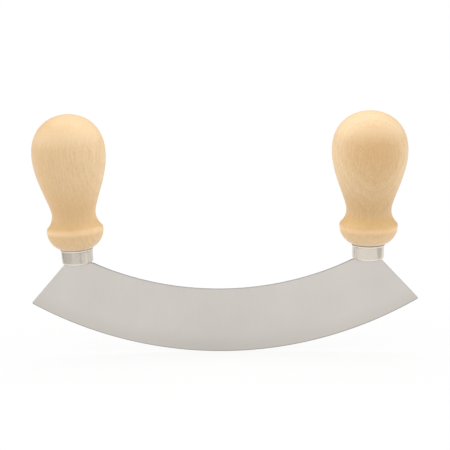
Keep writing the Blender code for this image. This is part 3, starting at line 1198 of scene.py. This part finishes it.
@dataclass
class Blade:
    """The crescent: flat at the top, ground convex towards an edge finished on a hone, with broken rims.

    The belt left the spine a little hollow between the handles, except for its last tenth at each end.
    """

    seat: Seat
    tang: Tang
    finish: SteelFinish
    thickness: float = 1.5
    edge_rise: float = 31.0
    grind_height: float = 12.0
    grind_belly: float = 1.6
    hone_height: float = 0.9
    hone_angle: float = math.radians(13.5)
    hone_rows: tuple[float, ...] = (0.0, 0.4, 0.85, 1.0)
    hone_guard: float = 0.222
    edge_thickness: float = 0.12
    spine_hollow: float = 0.25
    hollow_power: int = 10
    rim_round: float = 0.2
    rim_guard: float = 0.6
    end_guard: float = 1.2
    rim_steps: int = 3
    tip_round: float = 0.8
    shoulder_round: float = 0.5
    spine_columns: int = 46
    face_rows: int = 10
    grind_rows: int = 9
    sharp_angle: float = math.radians(62.0)

    def __post_init__(self) -> None:
        """Work out the arcs of the edge and the spine."""
        half = self.seat.blade_length / 2
        self.edge_radius = (half**2 + self.edge_rise**2) / (2 * self.edge_rise)
        self.edge_angle = math.atan2(half, self.edge_radius - self.edge_rise)
        self.edge_centre = Vector((0, self.edge_radius))
        spine_end = self.seat.on_right(-self.seat.inner_reach, 0)
        rise = self.seat.spine_rise
        self.spine_radius = (spine_end.x**2 + rise**2) / (2 * rise)
        self.spine_length = self.spine_radius * math.atan2(spine_end.x, self.spine_radius - rise)

    def rim_profile(self) -> list[tuple[float, float]]:
        """List the points of the rim's rounding.

        Returns:
            Distances inward and drops from the full thickness, from inside out.
        """
        radius = self.rim_round
        quarter = spread(0.0, math.pi / 2, self.rim_steps)
        curve = [(radius * (1 - math.sin(turn)), radius * (1 - math.cos(turn))) for turn in quarter]
        return [(self.rim_guard, 0.0)] + curve

    def half_thickness(self, depth: float) -> float:
        """Measure the ground blade from its middle plane.

        Args:
            depth: The distance inward from the cutting edge.

        Returns:
            Half of its thickness there.
        """
        hone_top = self.edge_thickness / 2 + self.hone_height * math.tan(self.hone_angle)
        if depth < self.hone_height:
            return self.edge_thickness / 2 + depth * math.tan(self.hone_angle)
        up = min((depth - self.hone_height) / (self.grind_height - self.hone_height), 1)
        full = self.thickness / 2
        return hone_top + (full - hone_top) * (1 - (1 - up) ** self.grind_belly)

    def head_at(self, length: float) -> Vector:
        """Walk along the top of the right half: the spine from its middle, then the shoulder.

        Args:
            length: How far to walk.

        Returns:
            The point in XZ.
        """
        if length <= self.spine_length:
            hollow = self.spine_hollow * (1 - (length / self.spine_length) ** self.hollow_power)
            centre = Vector((0, self.seat.blade_depth - hollow + self.spine_radius))
            return centre + self.spine_radius * hanging(length / self.spine_radius)
        return self.seat.on_right(length - self.spine_length - self.seat.inner_reach, 0)

    def columns(self) -> list[Column]:
        """Lay the columns of the right half, from the middle to the end cut.

        Returns:
            The columns in order.
        """
        axis = self.spine_length + self.seat.inner_reach
        total = axis + self.seat.outer_reach
        root = self.tang.half_width(0)
        stops = [(length, 0.0) for length in spread(0.0, self.spine_length, self.spine_columns)]
        for reach in (-(self.seat.inner_reach + root) / 2, -root, -root / 2, 0, root / 2, root):
            stops.append((axis + reach, 0.0))
        stops.append((total - self.end_guard, 0.0))
        stops += [(total - inward, drop) for inward, drop in self.rim_profile()]
        made = []
        for length, drop in stops:
            foot = self.edge_centre + self.edge_radius * hanging(self.edge_angle * length / total)
            in_tang = abs(length - axis) <= root + WELD_MM
            made.append(Column(foot, self.head_at(length), drop, in_tang))
        return made

    def share_at_depth(self, column: Column, depth: float) -> float:
        """Find where a column reaches a distance from the edge.

        Args:
            column: The line from edge to top.
            depth: The distance inward from the cutting edge.

        Returns:
            The share of the column's length below that place.
        """
        span = column.head - column.foot
        inward = (column.foot - self.edge_centre).dot(span)
        squares = self.edge_radius**2 - (self.edge_radius - depth) ** 2
        return (-inward - math.sqrt(inward**2 - span.length_squared * squares)) / span.length_squared

    def rows(self, column: Column) -> list[tuple[Vector, float]]:
        """Lay a column's points from the edge to the top.

        Args:
            column: The line that they lie on.

        Returns:
            Each point in XZ with half of the blade's thickness there.
        """
        depths = [share * self.hone_height for share in self.hone_rows]
        depths.append(self.hone_height + self.hone_guard)
        depths += spread(self.hone_height, self.grind_height, self.grind_rows)[1:]
        length = (column.head - column.foot).length
        shares = [(self.share_at_depth(column, depth), 0.0) for depth in depths]
        rim = self.rim_profile()
        start, stop = shares[-1][0], 1 - rim[0][0] / length
        shares += [(share, 0.0) for share in spread(start, stop, self.face_rows)[1:-1]]
        shares += [(1 - inward / length, 0.0 if column.in_tang else drop) for inward, drop in rim]
        placed = []
        for share, drop in shares:
            point = column.foot.lerp(column.head, share)
            depth = self.edge_radius - (point - self.edge_centre).length
            full = self.thickness / 2 - max(drop, column.end_drop)
            placed.append((self.with_round_corners(point), min(self.half_thickness(depth), full)))
        return placed

    def with_round_corners(self, point: Vector) -> Vector:
        """Draw a point in where the tip or the outer corner of the shoulder is rounded.

        Args:
            point: A point of the right half, in XZ.

        Returns:
            The point on or inside the rounded outline.
        """
        tip = self.edge_centre + self.edge_radius * hanging(self.edge_angle)
        corner = self.seat.on_right(self.seat.outer_reach, 0)
        end_cut = (corner - tip).normalized()
        cut_normal = Vector((end_cut.y, -end_cut.x))
        edge_normal = (tip - self.edge_centre).normalized()
        for apex, first, second, radius in (
            (tip, edge_normal, cut_normal, self.tip_round),
            (corner, cut_normal, self.seat.up, self.shoulder_round),
        ):
            opening = first.dot(second)
            centre = apex - (first + second) * radius / (1 + opening)
            spoke = point - centre
            if spoke.length > 0 and min(spoke.dot(first), spoke.dot(second)) > opening * spoke.length:
                return centre + spoke * max(spoke.dot(first), spoke.dot(second)) / spoke.length
        return point

    def mesh(self) -> bpy.types.Mesh:
        """Skin both faces, the rims, the edge and both tangs.

        Returns:
            The blade's mesh.
        """
        bm = bmesh.new()
        right = self.columns()
        grid = [self.rows(column) for column in right]
        signed = [(-1, i) for i in range(len(right) - 1, 0, -1)] + [(1, i) for i in range(len(right))]
        skins = []
        for face in (-1, 1):
            skin = [
                [bm.verts.new((side * point.x, face * half, point.y)) for point, half in grid[i]]
                for side, i in signed
            ]
            skins.append(skin)
            for here, there in zip(skin, skin[1:]):
                for row in range(len(here) - 1):
                    bm.faces.new((here[row], there[row], there[row + 1], here[row + 1]))
        front, back = skins
        for number, (near, far) in enumerate(zip(zip(front, back), zip(front[1:], back[1:]))):
            bm.faces.new((near[0][0], near[1][0], far[1][0], far[0][0]))
            if not (right[signed[number][1]].in_tang and right[signed[number + 1][1]].in_tang):
                bm.faces.new((near[0][-1], far[0][-1], far[1][-1], near[1][-1]))
        for end in (0, -1):
            for row in range(len(grid[0]) - 1):
                bm.faces.new((front[end][row], front[end][row + 1], back[end][row + 1], back[end][row]))
        for side in (-1, 1):
            feet = [n for n, (s, i) in enumerate(signed) if s == side and right[i].in_tang]
            self.add_tang(bm, side, [(front[n][-1], back[n][-1]) for n in feet])
        return finished_mesh("blade_steel", bm, self.sharp_angle)

    def add_tang(self, bm: bmesh.types.BMesh, side: int, feet: list) -> None:
        """Raise a tang from the open stretch of a shoulder.

        Args:
            bm: The blade so far.
            side: 1 for the right end and -1 for the left one.
            feet: The front and back corners along the shoulder, across the tang's root.
        """
        last = len(feet) - 1
        half = self.thickness / 2
        below = feet
        for height in self.tang.heights()[1:]:
            width = self.tang.half_width(height)
            above = []
            for n in range(len(feet)):
                across = width * side * (2 * n / last - 1)
                point = self.seat.on_right(across, height)
                above.append([bm.verts.new((side * point.x, face * half, point.y)) for face in (-1, 1)])
            for n in range(last):
                for skin in (0, 1):
                    bm.faces.new((below[n][skin], below[n + 1][skin], above[n + 1][skin], above[n][skin]))
            for n in (0, last):
                bm.faces.new((below[n][0], above[n][0], above[n][1], below[n][1]))
            below = above
        for n in range(last):
            bm.faces.new((below[n][0], below[n + 1][0], below[n + 1][1], below[n][1]))

    def build(self) -> bpy.types.Object:
        """Make the piece.

        Returns:
            The blade.
        """
        spine_height = self.seat.blade_depth - self.spine_hollow
        steel = self.finish.material(
            self.edge_radius, self.grind_height, self.spine_radius, spine_height
        )
        return Dressing("blade", Slot.STEEL, steel).put_on(self.mesh(), Matrix.Identity(4))


@dataclass
class Ferrule:
    """The nickel-plated cup between the blade and the wood."""

    seat: Seat
    gap: float = 0.3
    height: float = 9.0
    wall: float = 0.8
    flare: float = 0.2
    corner_round: float = 1.5
    hole_radius: float = 6.06
    bead_height: float = 1.1
    bead_swell: float = 0.25
    corner_steps: int = 10
    steps: int = 128
    sharp_angle: float = math.radians(35.0)

    def profile(self) -> list[Vector]:
        """Draw the section from the hole in the floor round the outside and back down the inside.

        Returns:
            Its corners as radius and height above the blade's shoulder.
        """
        bottom_radius = self.seat.inner_reach
        top_radius = bottom_radius + self.flare
        top = self.gap + self.height
        floor_top = self.gap + self.wall
        hole_bottom = Vector((self.hole_radius, self.gap))
        hole_top = Vector((self.hole_radius, floor_top))
        outer_corner = Vector((bottom_radius, self.gap))
        bead_start = Vector((top_radius, top - self.bead_height))
        inner_top = Vector((top_radius - self.wall, top))
        inner_corner = Vector((bottom_radius - self.wall, floor_top))
        bead_radius = (self.bead_height**2 / 4 + self.bead_swell**2) / (2 * self.bead_swell)
        bead_angle = math.atan2(self.bead_height / 2, bead_radius - self.bead_swell)
        bead_centre = Vector((top_radius + self.bead_swell - bead_radius, top - self.bead_height / 2))
        inner_round = self.corner_round - self.wall
        return (
            [hole_bottom]
            + rounded(hole_bottom, outer_corner, bead_start, self.corner_round, self.corner_steps)
            + arc(bead_centre, bead_radius, -bead_angle, bead_angle, self.corner_steps)
            + [inner_top]
            + rounded(inner_top, inner_corner, hole_top, inner_round, self.corner_steps)
            + [hole_top]
        )

    def build(self, side: Side, finish: NickelFinish) -> bpy.types.Object:
        """Make the piece at one end.

        Args:
            side: The end of the knife.
            finish: Its plating.

        Returns:
            The ferrule.
        """
        bm = turned(self.profile(), self.steps, ring=True)
        mesh = finished_mesh(f"{side.word}_nickel_ferrule", bm, self.sharp_angle)
        nickel = finish.material(self.gap, self.height, self.bead_height)
        return Dressing(f"{side.word}_ferrule", Slot.NICKEL, nickel).put_on(mesh, self.seat.place(side))


@dataclass
class Handle:
    """The turned grip: a tenon in the ferrule, a bead, a cove, and a neck that swells into a bulb."""

    seat: Seat
    ferrule: Ferrule
    base_overhang: float = 0.15
    base_chamfer: float = 0.1
    seam: float = 0.1
    bead_rise: float = 11.0
    bead_top_round: float = 2.5
    cove_radius: float = 10.2
    cove_depth: float = 3.9
    neck_radius: float = 13.0
    neck_to_bulb: float = 35.4
    bulb_radius: float = 21.9
    crown_rise: float = 23.1
    length_spread: float = 0.9
    girth_spread: float = 0.15
    neck_fullness: float = 0.19
    bulb_fullness: float = 0.41
    crown_side_fullness: float = 0.69
    crown_top_fullness: float = 0.49
    bore_radius: float = 5.43
    bore_end: float = 54.24
    bore_chamfer: float = 0.4
    drill_point_angle: float = math.radians(118.0)
    curve_steps: int = 36
    corner_steps: int = 8
    steps: int = 144
    sharp_angle: float = math.radians(35.0)

    @property
    def shoulder(self) -> float:
        """The height where the wood sits over the ferrule."""
        return 2 * self.ferrule.gap + self.ferrule.height

    def as_turned(self, drawn: list[Vector], side: Side) -> list[Vector]:
        """Give one handle its own turning: the left one longer and slimmer, the right one the reverse.

        Args:
            drawn: The outside as drawn for the lathe, from the shoulder to the crown.
            side: The end of the knife.

        Returns:
            The outside as the lathe made it.
        """
        stretch = 1 - side.value * self.length_spread / (drawn[-1].y - self.shoulder)
        girth = 1 + side.value * self.girth_spread / self.bulb_radius
        return [Vector((p.x * girth, self.shoulder + (p.y - self.shoulder) * stretch)) for p in drawn]

    def outside(self) -> list[Vector]:
        """Draw the shape for the lathe from the shoulder up to the crown.

        Returns:
            Its points as radius and height above the blade's shoulder.
        """
        base = self.seat.inner_reach + self.ferrule.flare + self.ferrule.bead_swell + self.base_overhang
        bead = self.neck_radius + self.cove_depth
        drop = bead - base
        bead_arc = (drop**2 + self.bead_rise**2) / (2 * drop)
        bead_height = self.shoulder + self.bead_rise
        start = math.atan2(-self.bead_rise, bead_arc - drop)
        reach = self.bead_top_round + self.cove_radius
        cove_turn = math.acos(1 - self.cove_depth / reach)
        neck = Vector((self.neck_radius, bead_height + reach * math.sin(cove_turn)))
        bulb = Vector((self.bulb_radius, neck.y + self.neck_to_bulb))
        crown = Vector((0, bulb.y + self.crown_rise))
        top_round_centre = Vector((bead - self.bead_top_round, bead_height))
        cove_centre = neck + Vector((self.cove_radius, 0))
        neck_control = neck + Vector((0, self.neck_fullness * self.neck_to_bulb))
        bulb_control = bulb - Vector((0, self.bulb_fullness * self.neck_to_bulb))
        side_control = bulb + Vector((0, self.crown_side_fullness * self.crown_rise))
        top_control = crown + Vector((self.crown_top_fullness * self.bulb_radius, 0))
        return (
            arc(Vector((bead - bead_arc, bead_height)), bead_arc, start, 0, self.curve_steps)
            + arc(top_round_centre, self.bead_top_round, 0, cove_turn, self.corner_steps)[1:]
            + arc(cove_centre, self.cove_radius, math.pi + cove_turn, math.pi, self.curve_steps)[1:]
            + bezier(neck, neck_control, bulb_control, bulb, self.curve_steps)[1:]
            + bezier(bulb, side_control, top_control, crown, self.curve_steps)[1:]
        )

    def profile(self, side: Side) -> list[Vector]:
        """Draw one handle's section: down the drilled hole, round the tenon and up the outside.

        Args:
            side: The end of the knife.

        Returns:
            Its points as radius and height above the blade's shoulder.
        """
        gap = self.ferrule.gap
        tenon_end = gap + self.ferrule.wall + gap
        tenon_radius = self.seat.inner_reach - self.ferrule.wall - gap
        point = self.bore_end + self.bore_radius / math.tan(self.drill_point_angle / 2)
        mouth = Vector((self.bore_radius + self.bore_chamfer, tenon_end))
        corner = Vector((tenon_radius, tenon_end))
        foot = gap + self.ferrule.height + self.seam
        root = Vector((tenon_radius + self.ferrule.flare, foot))
        outside = self.as_turned(self.outside(), side)
        corner_round = self.ferrule.corner_round - self.ferrule.wall - gap
        return (
            [
                Vector((0, point)),
                Vector((self.bore_radius, self.bore_end)),
                Vector((self.bore_radius, tenon_end + self.bore_chamfer)),
                mouth,
            ]
            + rounded(mouth, corner, root, corner_round, self.corner_steps)
            + [root, Vector((outside[0].x - self.base_chamfer, foot))]
            + outside
        )

    def build(self, side: Side, finish: BeechFinish) -> bpy.types.Object:
        """Make the piece at one end.

        Args:
            side: The end of the knife.
            finish: The wood that it is turned from.

        Returns:
            The handle.
        """
        bm = turned(self.profile(side), self.steps, ring=False)
        mesh = finished_mesh(f"{side.word}_beech_handle", bm, self.sharp_angle)
        beech = finish.material(self.shoulder)
        return Dressing(f"{side.word}_handle", Slot.BEECH, beech).put_on(mesh, self.seat.place(side))


@dataclass
class PizzaKnife:
    """The whole knife."""

    seat: Seat

    def build(self) -> list[bpy.types.Object]:
        """Make every piece and dress the resin that the frame brings.

        Returns:
            The pieces that stand for CAD nodes.
        """
        ferrule = Ferrule(self.seat)
        handle = Handle(self.seat, ferrule)
        pieces = [Blade(self.seat, Tang(), SteelFinish()).build()]
        for side in Side:
            pieces.append(ferrule.build(side, PLATINGS[side]))
            pieces.append(handle.build(side, WOODS[side]))
        resin = ResinFinish().material()
        for side in Side:
            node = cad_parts[f"{side.word}_tang_resin"]
            node.material_slots[0].material = resin
            LOG.info("%s keeps its CAD mesh", node.name)
        return pieces


# The studio


@dataclass
class Camera:
    """The photograph's viewpoint: nearly square to the blade, a little from above."""

    lens: float = 120.0
    distance: float = 0.8798
    azimuth: float = math.radians(4.603)
    elevation: float = math.radians(11.382)
    roll: float = math.radians(-1.898)
    target: tuple[float, float, float] = (0.00258, 0.0, 0.07669)

    def build(self) -> None:
        """Make the scene's camera."""
        azimuth, elevation = self.azimuth, self.elevation
        back = Vector(
            (
                math.sin(azimuth) * math.cos(elevation),
                -math.cos(azimuth) * math.cos(elevation),
                math.sin(elevation),
            )
        )
        right = Vector((math.cos(azimuth), math.sin(azimuth), 0))
        level = Matrix((right, back.cross(right), back)).transposed()
        camera = in_scene("camera", bpy.data.cameras.new("camera"))
        camera.data.lens = self.lens
        camera.matrix_world = (
            Matrix.Translation(Vector(self.target) + self.distance * back)
            @ level.to_4x4()
            @ Matrix.Rotation(self.roll, 4, "Z")
        )
        bpy.context.scene.camera = camera


@dataclass(frozen=True)
class Softbox:
    """A rectangular lamp that faces the knife."""

    name: str = "top_softbox"
    place: tuple[float, float, float] = (0.0, 0.10, 0.75)
    aim: tuple[float, float, float] = (0.0, 0.0, 0.07)
    size: tuple[float, float] = (0.9, 0.7)
    power: float = 2.3

    def build(self) -> None:
        """Make the lamp."""
        lamp = bpy.data.lights.new(self.name, "AREA")
        lamp.shape = "RECTANGLE"
        lamp.size, lamp.size_y = self.size
        lamp.energy = self.power
        box = in_scene(self.name, lamp)
        box.location = self.place
        sight = Vector(self.aim) - Vector(self.place)
        box.rotation_euler = sight.to_track_quat("-Z", "Y").to_euler()
        box.visible_camera = False


@dataclass(frozen=True)
class PaintedReflectionShade:
    """A round zone of the floor that only metal and glass see darker: painted shade in their reflections.
    """

    x: float
    y: float
    radius: float
    softness: float
    depth: float

    def lost(self, board: Board, x: object, y: object) -> Socket:
        """Work out how much of the floor's glow is lost.

        Args:
            board: The floor's tree.
            x: Where on the floor the ray lands, along X.
            y: The same along Y.

        Returns:
            The loss, from the full depth inside to 0 outside.
        """
        away = board.length(board.math("SUBTRACT", x, self.x), board.math("SUBTRACT", y, self.y))
        inside = board.rise(away, self.radius + self.softness, self.radius - self.softness)
        return board.math("MULTIPLY", inside, self.depth)


@dataclass(frozen=True)
class Surround:
    """A white surround, which the metal sees as walls of different brightness.

    Each wall is an angle about the vertical, from the camera's side over the right, and a brightness.
    """

    mirrored: Stops = (
        (-180.0, 0.22),
        (-120.0, 0.22),
        (-100.0, 0.75),
        (-40.0, 0.90),
        (40.0, 0.90),
        (100.0, 0.75),
        (120.0, 0.22),
        (180.0, 0.22),
    )
    lighting: Stops = (
        (-180.0, 0.30),
        (-150.0, 0.30),
        (-115.0, 1.96),
        (-65.0, 1.96),
        (-35.0, 0.53),
        (35.0, 0.53),
        (65.0, 1.68),
        (115.0, 1.68),
        (150.0, 0.30),
        (180.0, 0.30),
    )
    zenith: float = 0.92
    wall_top: float = 0.1
    zenith_from: float = 0.9

    def by_turn(self, board: Board, turn: object, walls: Stops) -> Socket:
        """Look the walls' brightness up for a turn from 0 at -180 degrees to 1 at 180 degrees."""
        return board.ramp(turn, tuple((angle / FULL_TURN + MIDDLE, value) for angle, value in walls))

    def build(self) -> None:
        """Make the world: white for the camera, and walls that light the knife or show in its metal."""
        world = bpy.data.worlds.new("surround")
        bpy.context.scene.world = world
        world.use_nodes = True
        board = Board(world.node_tree)
        x, y, z = board.split(board.here("Generated"))
        turn = board.math("ADD", board.math("DIVIDE", board.heading(x, y), math.tau), MIDDLE)
        overhead = board.rise(z, self.wall_top, self.zenith_from)
        lit = board.mix(overhead, self.by_turn(board, turn, self.lighting), grey(self.zenith))
        mirrored = board.mix(overhead, self.by_turn(board, turn, self.mirrored), WHITE)
        seen, passed_on = board.rays()
        colour = board.mix(seen, board.mix(passed_on, lit, mirrored), WHITE)
        board.feed(world.node_tree.nodes["Background"], {"Color": colour, "Strength": 1.0})


@dataclass
class Studio:
    """A white floor, a soft lamp and a white surround."""

    softbox: Softbox = Softbox()
    surround: Surround = Surround()
    floor_size: float = 12.0
    floor_roughness: float = 0.9
    bounce: float = 0.78
    shadow_catch: float = 0.12
    glow: float = 0.890
    lamp_share: float = 0.040
    # zones of painted shade that only the metal's reflections see
    painted_reflection_shades: tuple[PaintedReflectionShade, ...] = (
        PaintedReflectionShade(x=-0.360, y=-0.100, radius=0.168, softness=0.006, depth=0.20),
        PaintedReflectionShade(x=-0.300, y=0.115, radius=0.045, softness=0.020, depth=0.30),
        PaintedReflectionShade(x=0.345, y=-0.005, radius=0.108, softness=0.022, depth=0.30),
        PaintedReflectionShade(x=-0.150, y=0.115, radius=0.045, softness=0.020, depth=0.28),
        PaintedReflectionShade(x=0.000, y=-0.035, radius=0.045, softness=0.030, depth=0.08),
    )

    def glow_of_floor(self, board: Board, passed_on: Socket) -> Socket:
        """Work out how much the floor glows, so that it shows white although the lamp lights it unevenly.

        Args:
            board: The floor's tree.
            passed_on: 1 for rays that come from metal or through glass, which see its zones of painted
                shade too.

        Returns:
            The glow's strength.
        """
        x, y, _ = board.split(board.here())
        lamp_x, lamp_y, lamp_z = self.softbox.place
        from_lamp = board.length(board.math("SUBTRACT", x, lamp_x), board.math("SUBTRACT", y, lamp_y))
        squared = board.math("POWER", from_lamp, 2.0)
        cosine_squared = board.math("DIVIDE", lamp_z**2, board.math("ADD", squared, lamp_z**2))
        lost = board.math("MULTIPLY", board.math("POWER", cosine_squared, 2.0), self.lamp_share)
        # painted shade for reflections only
        for zone in self.painted_reflection_shades:
            darker = board.math("MULTIPLY", zone.lost(board, x, y), passed_on)
            lost = board.math("ADD", lost, darker)
        return board.math("SUBTRACT", self.glow, lost)

    def build_floor(self) -> None:
        """Lay the white floor."""
        half = self.floor_size / 2
        corners = [(-half, -half, 0), (half, -half, 0), (half, half, 0), (-half, half, 0)]
        mesh = bpy.data.meshes.new("floor")
        mesh.from_pydata(corners, [], [(0, 1, 2, 3)])
        board = Surface("white_floor")
        by_camera, passed_on = board.rays()
        seen = board.math("MAXIMUM", by_camera, passed_on)
        material = board.finish(
            {
                "Base Color": board.mix(seen, grey(self.bounce), grey(self.shadow_catch)),
                "Roughness": self.floor_roughness,
                "Specular IOR Level": 0.0,
                "Emission Color": WHITE,
                "Emission Strength": board.math("MULTIPLY", self.glow_of_floor(board, passed_on), seen),
            }
        )
        mesh.materials.append(material)
        floor = in_scene("floor", mesh)

    def build(self) -> None:
        """Set up the floor, the surround, the lamp and the view transform."""
        self.build_floor()
        self.surround.build()
        self.softbox.build()
        bpy.context.scene.view_settings.view_transform = "Standard"


def main() -> None:
    """Build the camera, the studio and the knife."""
    logging.basicConfig(level=logging.INFO, format="%(name)s: %(message)s")
    Camera().build()
    Studio().build()
    for piece in PizzaKnife(Seat()).build():
        LOG.info("%s stands at %.3f, %.3f, %.3f", piece.name, *piece.matrix_world.translation)


if __name__ == "__main__":
    main()
